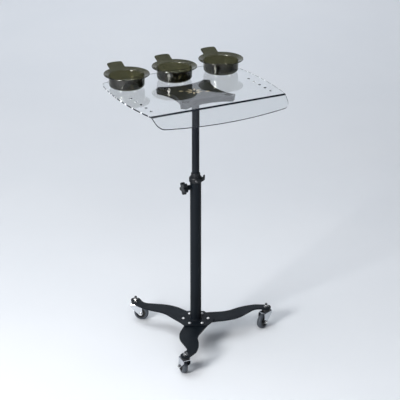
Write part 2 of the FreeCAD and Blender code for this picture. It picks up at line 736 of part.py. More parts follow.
def meeting_circle(first, second, radius, near):
    """Centre of a circle of this radius that lies inside two larger circles and touches both."""
    (x1, y1, r1), (x2, y2, r2) = first, second
    reach1, reach2 = r1 - radius, r2 - radius
    apart = math.hypot(x2 - x1, y2 - y1)
    along = (reach1 ** 2 - reach2 ** 2 + apart ** 2) / (2 * apart)
    aside = math.sqrt(reach1 ** 2 - along ** 2)
    ux, uy = (x2 - x1) / apart, (y2 - y1) / apart
    options = []
    for side in (-1, 1):
        options.append((x1 + along * ux - side * aside * uy, y1 + along * uy + side * aside * ux))
    return min(options, key=lambda p: math.hypot(p[0] - near[0], p[1] - near[1]))


def tray():
    """Clear sheet with bowed edges. Its front strip is bent down into a lip."""
    body = new_body("tray")
    profile = new_sketch(body, "YZ_Plane", "profile")
    bend_y, bend_z = "0 - dims.bend_line", f"{TRAY_UNDERSIDE} - dims.bend_inner"
    lip_edge = []
    for radius in ("(dims.bend_inner + dims.tray_thickness)", "dims.bend_inner"):
        y = f"{bend_y} - {radius} * sin(dims.lip_angle) - 90 * cos(dims.lip_angle)"
        z = f"{bend_z} + {radius} * cos(dims.lip_angle) - 90 * sin(dims.lip_angle)"
        lip_edge.append((y, z))
    outline(profile, [
        ("dims.tray_back + 10", TRAY_UNDERSIDE),
        ("dims.tray_back + 10", "dims.tray_top"),
        (bend_y, bend_z, "dims.bend_inner + dims.tray_thickness", 1),
        lip_edge[0],
        lip_edge[1],
        (bend_y, bend_z, "dims.bend_inner", -1),
    ])
    pad(body, profile, "2 * dims.tray_half_width + 20", both_ways=True)

    edge = new_sketch(body, "XY_Plane", "edge")
    far_frame(edge)
    reach = value("dims.tray_half_width - dims.side_curve")
    level, curve, bow = value("dims.tray_widest"), value("dims.side_curve"), value("dims.end_curve")
    sides = {1: (reach, level, curve), -1: (-reach, level, curve)}
    ends = {1: (0.0, value("dims.tray_back") - bow, bow), -1: (0.0, bow - value("dims.tray_front"), bow)}

    def corner(across, along):
        name = "dims.tray_corner" if along > 0 else "dims.lip_corner"
        near = (across * 215.0, along * 200.0)
        x, y = meeting_circle(sides[across], ends[along], value(name), near)
        return (x, y, name, 1)

    outline(edge, [
        ("dims.tray_half_width - dims.side_curve", "dims.tray_widest", "dims.side_curve", 1),
        corner(1, 1),
        (0.0, "dims.tray_back - dims.end_curve", "dims.end_curve", 1),
        corner(-1, 1),
        ("dims.side_curve - dims.tray_half_width", "dims.tray_widest", "dims.side_curve", 1),
        corner(-1, -1),
        (0.0, "dims.end_curve - dims.tray_front", "dims.end_curve", 1),
        corner(1, -1),
    ])
    cut(body, edge, both_ways=True)

    holes = new_sketch(body, "XY_Plane", "holes")
    for side in (-1, 1):
        for k in range(int(value("dims.hole_count"))):
            circle(holes, f"{side} * dims.hole_row", f"dims.hole_first + {k} * dims.hole_pitch", "dims.hole")
    cut(body, holes, both_ways=True)
    return body


def star_outline(sketch, far, near, corner, hollow, hollow_curve):
    """Square with four hollow sides and bevelled corners."""
    elements = []
    for x, y in ((1, 1), (-1, 1), (-1, -1), (1, -1)):
        pair = [(f"{x} * {far}", f"{y} * {near}"), (f"{x} * {near}", f"{y} * {far}")]
        if x * y < 0:
            pair.reverse()
        for px, py in pair:
            elements.append((px, py, corner, 1))
        side_x = "0" if x * y > 0 else f"{x} * {hollow}"
        side_y = f"{y} * {hollow}" if x * y > 0 else "0"
        elements.append((side_x, side_y, hollow_curve, -1))
    outline(sketch, elements)


def bracket():
    """Cast cross-shaped bracket under the tray: tapered skirt, tube socket and four ribs."""
    body = new_body("bracket")
    outside = new_sketch(body, "XY_Plane", "outside", BRACKET_TOP)
    star_outline(outside, "dims.bracket_tip_far", "dims.bracket_tip_near", "dims.bracket_corner",
                 "dims.bracket_hollow", "dims.bracket_hollow_curve")
    pad(body, outside, "dims.bracket_depth", reverse=True, taper="0 - dims.bracket_taper")
    top = value(BRACKET_TOP)
    ease(body, 2.0, lambda edge: edge.BoundBox.ZMin > top - 1e-6)
    inside = new_sketch(body, "XY_Plane", "inside", f"{BRACKET_TOP} - dims.bracket_wall")
    star_outline(inside, "dims.skirt_tip_far", "dims.skirt_tip_near", "dims.skirt_corner",
                 "dims.bracket_hollow", "dims.skirt_hollow_curve")
    cut(body, inside, "dims.bracket_depth")
    rib = new_sketch(body, "XY_Plane", "rib", f"{BRACKET_TOP} - dims.bracket_wall / 2")
    half = 1.6
    corners = []
    for along, across in ((14.0, -half), (118.0, -half), (118.0, half), (14.0, half)):
        corners.append((f"{along} * cos(45) - {across} * sin(45)", f"{along} * sin(45) + {across} * cos(45)"))
    outline(rib, corners)
    ribs = pad(body, rib, "dims.bracket_depth - 5", reverse=True)
    around(body, [ribs], 4)
    socket = new_sketch(body, "XZ_Plane", "socket")
    outline(socket, [
        ("dims.inner_tube", f"{BRACKET_TOP} - dims.sleeve_length"),
        ("dims.sleeve", f"{BRACKET_TOP} - dims.sleeve_length"),
        ("dims.sleeve", f"{BRACKET_TOP} - dims.bracket_depth - 1"),
        ("dims.socket", f"{BRACKET_TOP} - dims.bracket_depth + 1"),
        ("dims.socket", f"{BRACKET_TOP} - dims.bracket_wall / 2"),
        ("dims.inner_tube", f"{BRACKET_TOP} - dims.bracket_wall / 2"),
    ])
    revolve(body, socket)
    return body


def bond_pads():
    """Four discs of clear foam tape on the bracket's arms."""
    body = turned_ring("bond_pads", [
        ("0", BRACKET_TOP),
        ("dims.bond_pad", BRACKET_TOP),
        ("dims.bond_pad", TRAY_UNDERSIDE),
        ("0", TRAY_UNDERSIDE),
    ], "dims.bond_pad_circle", 4)
    body.Placement = on_column(45.0)
    return body


# ---------------------------------------------------------------- bowls

def bowl(name, index):
    """Round bowl with a flared rim and a raised handle tab towards the back."""
    body = new_body(f"bowl_{name}")
    wall = "dims.bowl_wall"
    profile = new_sketch(body, "XZ_Plane", "profile")
    outline(profile, [
        ("0", "dims.bowl_foot"),
        ("dims.bowl_base", "dims.bowl_foot"),
        ("dims.bowl_body", f"dims.bowl_inner_rim - {wall}"),
        ("dims.bowl_rim", f"dims.bowl_rim_height - {wall}"),
        ("dims.bowl_rim", "dims.bowl_rim_height"),
        (f"dims.bowl_body - {wall}", "dims.bowl_inner_rim"),
        (f"dims.bowl_base - {wall}", f"dims.bowl_foot + {wall}"),
        ("0", f"dims.bowl_foot + {wall}"),
    ])
    revolve(body, profile)
    tab = new_sketch(body, "YZ_Plane", "tab")
    inner = "(dims.bowl_rim - 8)"
    low = f"(dims.bowl_rim_height - {wall} - 3)"
    outline(tab, [
        (inner, low),
        ("dims.bowl_tab_end", f"dims.bowl_tab_height - {wall}"),
        ("dims.bowl_tab_end", "dims.bowl_tab_height"),
        (inner, f"{low} + {wall}"),
    ])
    pad(body, tab, "2 * dims.bowl_tab_half", both_ways=True)
    rounding = new_sketch(body, "XY_Plane", "rounding")
    far_frame(rounding, half=200.0)
    side, end = "dims.bowl_tab_half - dims.bowl_tab_corner", "dims.bowl_tab_end - dims.bowl_tab_corner"
    outline(rounding, [
        ("0", "0", "dims.bowl_rim + 2", 1),
        (side, end, "dims.bowl_tab_corner", 1),
        (f"0 - ({side})", end, "dims.bowl_tab_corner", 1),
    ])
    cut(body, rounding, both_ways=True)
    base, foot = value("dims.bowl_base"), value("dims.bowl_foot")
    thick = value(wall)
    ease(body, "dims.bowl_round", lambda edge: is_round(edge, base, foot))
    ease(body, f"dims.bowl_round - {wall}", lambda edge: is_round(edge, base - thick, foot + thick))
    ease(body, 0.9, lambda edge: is_round(edge, value("dims.bowl_rim")))
    body.Placement = on_bowl(index)
    return body


def bowl_feet(name, index):
    """Six clear bumper feet stuck under a bowl."""
    body = turned_ring(f"bowl_feet_{name}", [
        ("0", "0"),
        ("dims.bowl_foot_radius - 1.4", "0"),
        ("dims.bowl_foot_radius", "1.0"),
        ("dims.bowl_foot_radius", "dims.bowl_foot"),
        ("0", "dims.bowl_foot"),
    ], "dims.bowl_foot_circle", 6)
    body.Placement = on_bowl(index) * on_column(value("dims.bowl_foot_first"))
    return body


# ---------------------------------------------------------------- casters

def caster(name, index, swivel):
    """One swivel caster: the stem's parts are fixed to the leg and the fork turns under them."""
    seat = on_caster(index, swivel)
    axle = on_axle(seat)

    rivet_top = "(dims.fork_top - dims.fork_wall - 0.35)"
    stem = turned(f"stem_{name}", [
        ("0", f"{rivet_top} - 2.8"),
        ("4.5", f"{rivet_top} - 2.8"),
        ("7.0", f"{rivet_top} - 0.9"),
        ("7.0", rivet_top),
        ("dims.stem", rivet_top),
        ("dims.stem", "dims.stem_top - 0.8"),
        ("dims.stem - 0.8", "dims.stem_top"),
        ("0", "dims.stem_top"),
    ])
    stem.Placement = seat

    nut = new_body(f"stem_nut_{name}")
    washer = new_sketch(nut, "XY_Plane", "washer", "dims.leg_top")
    circle(washer, 0.0, 0.0, "dims.washer")
    circle(washer, 0.0, 0.0, "dims.stem")
    pad(nut, washer, "dims.washer_thickness")
    hexagonal = new_sketch(nut, "XY_Plane", "hexagon", "dims.leg_top + dims.washer_thickness")
    hexagon(hexagonal, "0", "dims.stem_nut_corner")
    circle(hexagonal, 0.0, 0.0, "dims.stem")
    pad(nut, hexagonal, "dims.stem_nut_height")
    top = value("dims.leg_top + dims.washer_thickness + dims.stem_nut_height")
    ease(nut, 0.6, lambda edge: edge.BoundBox.ZMin > top - 1e-6 and isinstance(edge.Curve, Part.Line),
         "Chamfer")
    nut.Placement = seat

    cup = turned(f"bearing_cup_{name}", [
        ("dims.stem", f"{LEG_UNDERSIDE} - 1.5"),
        ("dims.cup - 1.5", f"{LEG_UNDERSIDE} - 1.5"),
        ("dims.cup - 1.5", "dims.cup_bottom"),
        ("dims.cup", "dims.cup_bottom"),
        ("dims.cup", f"{LEG_UNDERSIDE} - 1.6"),
        ("dims.cup - 1.6", LEG_UNDERSIDE),
        ("dims.stem", LEG_UNDERSIDE),
    ])
    cup.Placement = seat

    middle = "(dims.fork_top + 0.4 + dims.ball)"
    balls = new_body(f"bearing_balls_{name}")
    half_ball = new_sketch(balls, "XZ_Plane", "ball")
    centre = Vector(value("dims.ball_circle"), value(middle), 0)
    ring = Part.Circle(centre, Vector(0, 0, 1), value("dims.ball"))
    arc = half_ball.addGeometry(Part.ArcOfCircle(ring, -math.pi / 2, math.pi / 2))
    up = Vector(0, value("dims.ball"), 0)
    line = half_ball.addGeometry(Part.LineSegment(centre + up, centre - up))
    half_ball.addConstraint(Sketcher.Constraint("Coincident", arc, 2, line, 1))
    half_ball.addConstraint(Sketcher.Constraint("Coincident", arc, 1, line, 2))
    half_ball.addConstraint(Sketcher.Constraint("PointOnObject", arc, 3, line))
    half_ball.addConstraint(Sketcher.Constraint("Vertical", line))
    fix_point(half_ball, arc, 3, "dims.ball_circle", middle)
    fix(half_ball, "Radius", (arc,), "dims.ball")
    axis = half_ball.addGeometry(Part.LineSegment(centre, centre + Vector(0, 10, 0)), True)
    half_ball.addConstraint(Sketcher.Constraint("Vertical", axis))
    fix_point(half_ball, axis, 1, "dims.ball_circle", middle)
    fix(half_ball, "DistanceY", (axis, 1, axis, 2), 10.0)
    feature = revolve(balls, half_ball, axis=(half_ball, ["Axis0"]))
    around(balls, [feature], "dims.ball_count")
    balls.Placement = seat

    fork = new_body(f"fork_{name}")
    section = new_sketch(fork, "YZ_Plane", "section")
    side, wall = "dims.fork_half_width", "dims.fork_wall"
    shoulder = f"({side} - dims.fork_shoulder)"
    level = "(dims.fork_top - dims.fork_shoulder)"
    outline(section, [
        (side, 10.0),
        (shoulder, level, "dims.fork_shoulder", 1),
        (f"0 - {shoulder}", level, "dims.fork_shoulder", 1),
        (f"0 - {side}", 10.0),
        (f"{wall} - {side}", 10.0),
        (f"0 - {shoulder}", level, f"dims.fork_shoulder - {wall}", -1),
        (shoulder, level, f"dims.fork_shoulder - {wall}", -1),
        (f"{side} - {wall}", 10.0),
    ])
    pad(fork, section, "100.0", both_ways=True)
    outside = new_sketch(fork, "XZ_Plane", "outside")
    far_frame(outside, half=100.0)
    outline(outside, [
        ("0 - dims.fork_back", 80.0),
        ("8 - dims.fork_back", "dims.fork_top - 9", 8.0, 1),
        ("dims.trail", "dims.wheel", 6.8, 1),
        ("dims.trail + 4.5", 80.0),
    ])
    cut(fork, outside, both_ways=True)
    bore = new_sketch(fork, "XY_Plane", "bore")
    circle(bore, 0.0, 0.0, "dims.stem + 0.06")
    cut(fork, bore, both_ways=True)
    axle_hole = new_sketch(fork, "XZ_Plane", "axle_hole")
    circle(axle_hole, "dims.trail", "dims.wheel", "dims.axle")
    cut(fork, axle_hole, both_ways=True)
    fork.Placement = seat

    bolt = turned(f"axle_bolt_{name}", [
        ("0", f"0 - {side} - 6.5"),
        ("dims.axle - 0.6", f"0 - {side} - 6.5"),
        ("dims.axle", f"0 - {side} - 5.9"),
        ("dims.axle", side),
        ("5.2", side),
        ("5.2", f"{side} + 1.2"),
        ("3.4", f"{side} + 3.2"),
        ("0", f"{side} + 3.2"),
    ])
    bolt.Placement = axle

    axle_nut = new_body(f"axle_nut_{name}")
    nut_sketch = new_sketch(axle_nut, "XY_Plane", "nut", f"0 - {side}")
    hexagon(nut_sketch, "0", "5.8")
    circle(nut_sketch, 0.0, 0.0, "dims.axle")
    pad(axle_nut, nut_sketch, "4.6", reverse=True)
    axle_nut.Placement = axle

    clearance = "dims.axle + dims.axle_clearance"
    core = turned(f"wheel_core_{name}", [
        (clearance, f"0.5 - {side} + {wall}"),
        ("6.0", f"0.5 - {side} + {wall}"),
        ("6.5", "0 - 5.0"),
        ("dims.tyre_inner - 2.5", "0 - 5.0"),
        ("dims.tyre_inner - 1.5", "0 - 8.3"),
        ("dims.tyre_inner", "0 - 8.3"),
        ("dims.tyre_inner", 8.3),
        ("dims.tyre_inner - 1.5", 8.3),
        ("dims.tyre_inner - 2.5", 5.0),
        ("6.5", 5.0),
        ("6.0", f"{side} - {wall} - 0.5"),
        (clearance, f"{side} - {wall} - 0.5"),
    ])
    core.Placement = axle

    tyre = turned(f"tyre_{name}", [
        ("dims.tyre_inner", "0 - dims.wheel_half_width"),
        ("dims.wheel - 7", "7 - dims.wheel_half_width", "7.0", 1),
        ("dims.wheel - 7", "dims.wheel_half_width - 7", "7.0", 1),
        ("dims.tyre_inner", "dims.wheel_half_width"),
    ])
    tyre.Placement = axle
    return [stem, nut, cup, balls, fork, bolt, axle_nut, core, tyre]


# ---------------------------------------------------------------- build, check and export

parts = [
    hub_plate(), leg("leg_front", 0), leg("leg_right", 1), leg("leg_left", 2),
    hub_bolts(), hub_nuts(), lower_tube(), knob_boss(), collar_bush(), collar_band(), band_screw(),
    hanging_hook(), clamp_pad(), clamp_screw(), star_knob(), guide_bush(), retaining_ring(),
    upper_tube(), bracket(), bond_pads(), tray(),
]
for index, name in enumerate(("left", "middle", "right")):
    parts.append(bowl(name, index))
    parts.append(bowl_feet(name, index))
parts += caster("front", 0, "dims.front_swivel")
parts += caster("right", 1, "dims.right_swivel")
parts += caster("left", 2, "dims.left_swivel")

doc.recompute()
for thing in doc.Objects:
    if "Invalid" in thing.State or "Error" in thing.State:
        raise RuntimeError(f"{thing.Name} did not rebuild: {thing.State}")
os.makedirs("parts", exist_ok=True)
for part in parts:
    if part.Shape.isNull() or not part.Shape.isValid():
        raise RuntimeError(f"{part.Label} is not a valid solid")
    part.Shape.exportStep(f"parts/{part.Label}.step")
print(f"{len(parts)} parts")
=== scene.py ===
import json
import math

import bmesh
import bpy
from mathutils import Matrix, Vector
from mathutils.geometry import delaunay_2d_cdt


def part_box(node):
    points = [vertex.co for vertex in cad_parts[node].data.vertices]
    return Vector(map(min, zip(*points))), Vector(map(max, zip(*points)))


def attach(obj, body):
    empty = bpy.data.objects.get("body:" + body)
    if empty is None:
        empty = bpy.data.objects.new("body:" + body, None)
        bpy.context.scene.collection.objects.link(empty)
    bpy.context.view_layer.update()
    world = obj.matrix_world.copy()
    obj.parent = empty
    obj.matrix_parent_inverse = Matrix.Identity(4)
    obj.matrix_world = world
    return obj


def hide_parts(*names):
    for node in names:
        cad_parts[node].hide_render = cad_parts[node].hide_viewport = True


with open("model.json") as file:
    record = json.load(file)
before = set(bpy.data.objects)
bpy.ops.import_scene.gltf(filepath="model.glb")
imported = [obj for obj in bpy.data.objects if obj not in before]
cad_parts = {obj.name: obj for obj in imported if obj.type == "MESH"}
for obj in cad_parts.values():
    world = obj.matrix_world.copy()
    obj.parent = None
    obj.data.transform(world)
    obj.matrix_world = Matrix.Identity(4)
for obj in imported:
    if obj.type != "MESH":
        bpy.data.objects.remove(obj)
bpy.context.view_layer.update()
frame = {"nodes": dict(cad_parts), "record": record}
NODES = frame["nodes"]

# -------------------------------------------- sizes shared with the frame, metres

TRAY_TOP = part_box("tray")[1][2]
SHEET = 0.005
TRAY_HALF_WIDTH = 0.2605
TRAY_WIDEST_Y = 0.010
TRAY_BACK = 0.236
TRAY_FRONT = 0.222
SIDE_CURVE = 1.05
END_CURVE = 2.0
BACK_CORNER = 0.030
LIP_CORNER = 0.027
BEND_Y = -0.161
BEND_R = 0.013  # of the upper face
LIP = math.radians(35.0)

HOLE_X = 0.2206
HOLE_FIRST_Y = -0.1135
HOLE_PITCH = 0.0366
HOLE_RADIUS = 0.0045
HOLES_A_SIDE = 5

BOWLS = {"left": -0.1821, "middle": -0.0041, "right": 0.1739}
BOWL_Y = 0.1422
BOWL_FOOT = 0.0025
BOWL_WALL = 0.0024
BOWL_RIM = 0.076
TAB_HALF_WIDTH = 0.028
TAB_END = 0.097
TAB_CORNER = 0.007


# -------------------------------------------- node helpers

class Shader:
    """A material's node tree, with short calls for the nodes used here."""

    def __init__(self, name):
        self.material = bpy.data.materials.new(name)
        self.material.use_nodes = True
        self.tree = self.material.node_tree
        self.tree.nodes.clear()
        self.output = self.node("ShaderNodeOutputMaterial")
        self.coords = self.node("ShaderNodeTexCoord").outputs["Object"]

    def node(self, kind, **settings):
        made = self.tree.nodes.new(kind)
        for key, setting in settings.items():
            setattr(made, key, setting)
        return made

    def link(self, a, b):
        self.tree.links.new(a, b)

    def stretched(self, scale):
        mapping = self.node("ShaderNodeMapping")
        mapping.inputs["Scale"].default_value = scale
        self.link(self.coords, mapping.inputs["Vector"])
        return mapping.outputs["Vector"]

    def noise(self, scale, detail=3.0, rough=0.5, vector=None):
        made = self.node("ShaderNodeTexNoise")
        made.inputs["Scale"].default_value = scale
        made.inputs["Detail"].default_value = detail
        made.inputs["Roughness"].default_value = rough
        self.link(vector or self.coords, made.inputs["Vector"])
        return made.outputs["Fac"]

    def ramp(self, factor, stops):
        made = self.node("ShaderNodeValToRGB")
        ramp = made.color_ramp
        while len(ramp.elements) < len(stops):
            ramp.elements.new(0.5)
        for element, (place, colour) in zip(ramp.elements, stops):
            element.position = place
            if isinstance(colour, (int, float)):
                colour = (colour, colour, colour)
            element.color = (*colour, 1.0)
        self.link(factor, made.inputs["Fac"])
        return made.outputs["Color"]

    def spread(self, factor, low, high):
        made = self.node("ShaderNodeMapRange")
        made.inputs["To Min"].default_value = low
        made.inputs["To Max"].default_value = high
        self.link(factor, made.inputs["Value"])
        return made.outputs["Result"]

    def mix(self, factor, a, b):
        made = self.node("ShaderNodeMix", data_type="RGBA")
        self.link(factor, made.inputs["Factor"])
        for socket, colour in ((made.inputs[6], a), (made.inputs[7], b)):
            if isinstance(colour, tuple):
                socket.default_value = (*colour, 1.0)
            else:
                self.link(colour, socket)
        return made.outputs[2]

    def bump(self, height, strength, distance, under=None):
        made = self.node("ShaderNodeBump")
        made.inputs["Strength"].default_value = strength
        made.inputs["Distance"].default_value = distance
        self.link(height, made.inputs["Height"])
        if under is not None:
            self.link(under, made.inputs["Normal"])
        return made.outputs["Normal"]

    def component(self, vector, axis):
        made = self.node("ShaderNodeSeparateXYZ")
        self.link(vector, made.inputs["Vector"])
        return made.outputs[axis]

    def calculate(self, operation, a, b=None):
        made = self.node("ShaderNodeMath", operation=operation)
        for socket, given in zip(made.inputs, (a, b)):
            if isinstance(given, float):
                socket.default_value = given
            elif given is not None:
                self.link(given, socket)
        return made.outputs["Value"]

    def surface(self, colour=None, rough=None, normal=None, **numbers):
        made = self.node("ShaderNodeBsdfPrincipled")
        for key, number in numbers.items():
            made.inputs[key.replace("_", " ")].default_value = number
        for key, socket in (("Base Color", colour), ("Roughness", rough), ("Normal", normal)):
            if socket is not None:
                self.link(socket, made.inputs[key])
        self.link(made.outputs["BSDF"], self.output.inputs["Surface"])
        return made


def shade(colour, factor):
    return tuple(min(1.0, part * factor) for part in colour)


def powder_coat(name, colour, grain=1500.0, rough=(0.34, 0.5), sheen=0.22):
    """Satin powder coat: fine orange peel, cloudy gloss and faint dusty rubs."""
    s = Shader(name)
    cloud = s.noise(9.0, 5.0)
    tone = s.ramp(cloud, [(0.3, shade(colour, 0.85)), (0.7, shade(colour, 1.2))])
    streaks = s.noise(46.0, 8.0, 0.7, s.stretched((1.0, 1.0, 0.3)))
    rubs = s.ramp(streaks, [(0.64, 0.0), (0.82, 0.45)])
    tone = s.mix(rubs, tone, shade(colour, 1.9))
    peel = s.bump(s.noise(grain, 2.0), 0.35, 0.0001)
    normal = s.bump(s.noise(grain * 0.17, 2.0), 0.12, 0.0004, peel)
    s.surface(tone, s.spread(s.noise(28.0, 6.0), *rough), normal, Specular_IOR_Level=sheen)
    return s.material


def plated(name, colour, rough=(0.06, 0.2), scratch=0.12):
    """Bright plating with hairline scratches and light clouding."""
    s = Shader(name)
    tone = s.ramp(s.noise(60.0, 5.0), [(0.35, shade(colour, 0.88)), (0.68, colour)])
    lines = s.noise(2200.0, 3.0, 0.6, s.stretched((0.15, 1.0, 1.0)))
    normal = s.bump(lines, scratch, 0.00003)
    s.surface(tone, s.spread(s.noise(240.0, 6.0), *rough), normal, Metallic=1.0)
    return s.material


def moulded(name, colour, rough=(0.4, 0.55), grain=2600.0, depth=0.2, coat=0.0):
    """Moulded plastic or rubber with a fine spark-eroded grain."""
    s = Shader(name)
    tone = s.ramp(s.noise(35.0, 4.0), [(0.3, shade(colour, 0.82)), (0.72, shade(colour, 1.18))])
    dust = s.ramp(s.noise(130.0, 7.0, 0.65), [(0.6, 0.0), (0.85, 0.35)])
    tone = s.mix(dust, tone, shade(colour, 1.7))
    normal = s.bump(s.noise(grain, 2.0), depth, 0.00008)
    s.surface(tone, s.spread(s.noise(90.0, 5.0), *rough), normal,
              Coat_Weight=coat, Specular_IOR_Level=0.3)
    return s.material


def see_through(name, colour, rough, ior, haze=0.5, grain=900.0,
                tint_dark=None, shadow=None):
    """Clear or tinted plastic. Its shadow is let through, tinted, instead of being black."""
    s = Shader(name)
    tone = s.ramp(s.noise(14.0, 4.0), [(0.3, tint_dark or shade(colour, 0.985)), (0.7, colour)])
    wisps = s.noise(38.0, 6.0, 0.62, s.stretched((1.0, 0.35, 1.0)))
    roughness = s.spread(s.ramp(wisps, [(0.52, 0.0), (0.8, haze)]), *rough)
    normal = s.bump(s.noise(grain, 2.0), 0.02, 0.00002)
    body = s.surface(tone, roughness, normal, Transmission_Weight=1.0, IOR=ior)
    clear = s.node("ShaderNodeBsdfTransparent")
    clear.inputs["Color"].default_value = (*(shadow or colour), 1.0)
    path = s.node("ShaderNodeLightPath")
    choice = s.node("ShaderNodeMixShader")
    s.link(path.outputs["Is Shadow Ray"], choice.inputs["Fac"])
    s.link(body.outputs["BSDF"], choice.inputs[1])
    s.link(clear.outputs["BSDF"], choice.inputs[2])
    s.link(choice.outputs["Shader"], s.output.inputs["Surface"])
    return s.material


def cut_edge(name):
    """Rim, bend and hole walls of the clear sheet: dark, with bright breaks behind the bend.

    The real lines come from reflection inside the sheet. Here they are painted on.
    """
    s = Shader(name)
    facing = s.component(s.node("ShaderNodeNewGeometry").outputs["True Normal"], "X")
    sideways = s.calculate("GREATER_THAN", s.calculate("ABSOLUTE", facing), 0.6)
    behind = s.calculate("GREATER_THAN", s.component(s.coords, "Y"), BEND_Y + 0.004)
    flank = s.calculate("MULTIPLY", behind, sideways)
    along = s.noise(62.0, 1.0, 0.4, s.stretched((0.0, 1.0, 0.0)))
    breaks = s.calculate("MULTIPLY", s.ramp(along, [(0.53, 0.0), (0.57, 1.0)]), flank)
    dark = s.ramp(s.noise(30.0, 4.0), [(0.3, (0.008, 0.010, 0.014)), (0.7, (0.026, 0.031, 0.040))])
    tone = s.mix(breaks, dark, (0.93, 0.95, 0.97))
    bump = s.bump(s.noise(700.0, 2.0), 0.04, 0.00004)
    s.surface(tone, s.spread(s.noise(120.0, 4.0), 0.06, 0.16), bump, Specular_IOR_Level=0.12)
    return s.material


MATERIALS = {
    "frame_paint": powder_coat("frame_paint", (0.0048, 0.0072, 0.0105), sheen=0.13),
    "tube_paint": powder_coat("tube_paint", (0.0058, 0.0078, 0.0112),
                              rough=(0.3, 0.44), sheen=0.14),
    "bracket_paint": powder_coat("bracket_paint", (0.0045, 0.005, 0.0062),
                                 rough=(0.26, 0.38), sheen=0.1),
    "bolt_steel": plated("bolt_steel", (0.93, 0.93, 0.94), (0.34, 0.5)),
    "dark_steel": plated("dark_steel", (0.12, 0.12, 0.125), (0.3, 0.45), 0.25),
    "black_plastic": moulded("black_plastic", (0.0075, 0.0092, 0.012)),
    "knob_plastic": moulded("knob_plastic", (0.0062, 0.0078, 0.0102), (0.3, 0.45)),
    "nylon": moulded("nylon", (0.62, 0.6, 0.55), (0.35, 0.5)),
    "clear_tape": see_through("clear_tape", (0.9, 0.92, 0.93), (0.12, 0.3), 1.45),
    "clear_acrylic": see_through("clear_acrylic", (0.97, 0.985, 0.99), (0.0, 0.02), 1.49, 0.25),
    "zinc_nut": plated("zinc_nut", (0.8, 0.8, 0.8), (0.12, 0.25)),
    "cup_black": powder_coat("cup_black", (0.014, 0.014, 0.015), 2400.0, (0.25, 0.4)),
    "fork_chrome": plated("fork_chrome", (0.56, 0.58, 0.61), (0.08, 0.2), 0.08),
    "wheel_core": moulded("wheel_core", (0.017, 0.017, 0.018), (0.3, 0.45)),
    "tyre_rubber": moulded("tyre_rubber", (0.058, 0.067, 0.08), (0.3, 0.46), 1800.0, 0.3),
    "bowl_smoke": see_through("bowl_smoke", (0.098, 0.094, 0.05), (0.03, 0.09), 1.5, 0.4,
                              600.0, (0.084, 0.08, 0.042), (0.2, 0.195, 0.15)),
    # The feet are clear; their whitish opaque colour is a painted glint that stands in for the
    # bright dots at each bowl's base.
    "clear_feet": moulded("clear_feet", (0.8, 0.82, 0.83), (0.12, 0.2), 900.0, 0.05, 0.6),
    "cut_edge": cut_edge("cut_edge"),
    "gold": plated("gold", (0.95, 0.78, 0.5), (0.3, 0.45), 0.1),
}

SLOT_OF = {part["node"]: part["material_slot"] for part in frame["record"]["subparts"]}
for name, node in NODES.items():
    material = MATERIALS[SLOT_OF[name]]
    for slot in node.material_slots:
        slot.link = "DATA"
        slot.material = material


# -------------------------------------------- mesh helpers

def placed(name, data):
    made = bpy.data.objects.new(name, data)
    bpy.context.scene.collection.objects.link(made)
    return made


def new_piece(name, mesh, material, body, *replaced):
    piece = placed(name, mesh)
    piece.data.materials.append(MATERIALS[material])
    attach(piece, body)
    if replaced:
        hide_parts(*replaced)
    return piece


def soften(mesh, degrees=32.0):
    mesh.shade_smooth()
    mesh.set_sharp_from_angle(angle=math.radians(degrees))


def modified(mesh, add):
    """The mesh after the modifiers that add(object) puts on it."""
    carrier = placed("carrier", mesh)
    add(carrier)
    graph = bpy.context.evaluated_depsgraph_get()
    result = bpy.data.meshes.new_from_object(carrier.evaluated_get(graph))
    bpy.data.objects.remove(carrier)
    return result


# -------------------------------------------- tray: one bent sheet with eased edges

def arc_points(centre, radius, start, end, count):
    points = []
    for k in range(count + 1):
        angle = start + (end - start) * k / count
        points.append((centre[0] + radius * math.cos(angle), centre[1] + radius * math.sin(angle)))
    return points


def touching(first, second, radius, near):
    """Centre of the circle of this radius that touches both circles from inside, by near."""
    (x1, y1, r1), (x2, y2, r2) = first, second
    reach1, reach2 = r1 - radius, r2 - radius
    apart = math.hypot(x2 - x1, y2 - y1)
    along = (reach1 ** 2 - reach2 ** 2 + apart ** 2) / (2 * apart)
    aside = math.sqrt(reach1 ** 2 - along ** 2)
    ux, uy = (x2 - x1) / apart, (y2 - y1) / apart
    found = []
    for side in (-1, 1):
        found.append((x1 + along * ux - side * aside * uy, y1 + along * uy + side * aside * ux))
    return min(found, key=lambda p: math.hypot(p[0] - near[0], p[1] - near[1]))


def tray_outline():
    """The tray's edge seen from above, anticlockwise, as the frame has it."""
    ends = {1: (0.0, TRAY_BACK - END_CURVE, END_CURVE),
            -1: (0.0, END_CURVE - TRAY_FRONT, END_CURVE)}
    sides = {1: (TRAY_HALF_WIDTH - SIDE_CURVE, TRAY_WIDEST_Y, SIDE_CURVE),
             -1: (SIDE_CURVE - TRAY_HALF_WIDTH, TRAY_WIDEST_Y, SIDE_CURVE)}
    radius = {1: BACK_CORNER, -1: LIP_CORNER}
    points = []
    order = ((1, 1), (-1, 1), (-1, -1), (1, -1))
    centres = {}
    for across, along in order:
        near = (0.215 * across, 0.2 * along)
        centres[across, along] = touching(sides[across], ends[along], radius[along], near)

    def toward(a, b):
        return math.atan2(b[1] - a[1], b[0] - a[0])

    for index, (across, along) in enumerate(order):
        centre, r = centres[across, along], radius[along]
        side, end = sides[across], ends[along]
        first, second = (side, end) if across * along > 0 else (end, side)
        start, stop = toward(first, centre), toward(second, centre)
        if stop < start:
            stop += 2 * math.pi
        points += arc_points(centre, r, start, stop, 18)
        after = centres[order[(index + 1) % 4]]
        big = end if across * along > 0 else side
        a, b = toward(big, centre), toward(big, after)
        if b < a:
            b += 2 * math.pi
        points += arc_points(big, big[2], a, b, 40)[1:-1]
    return points


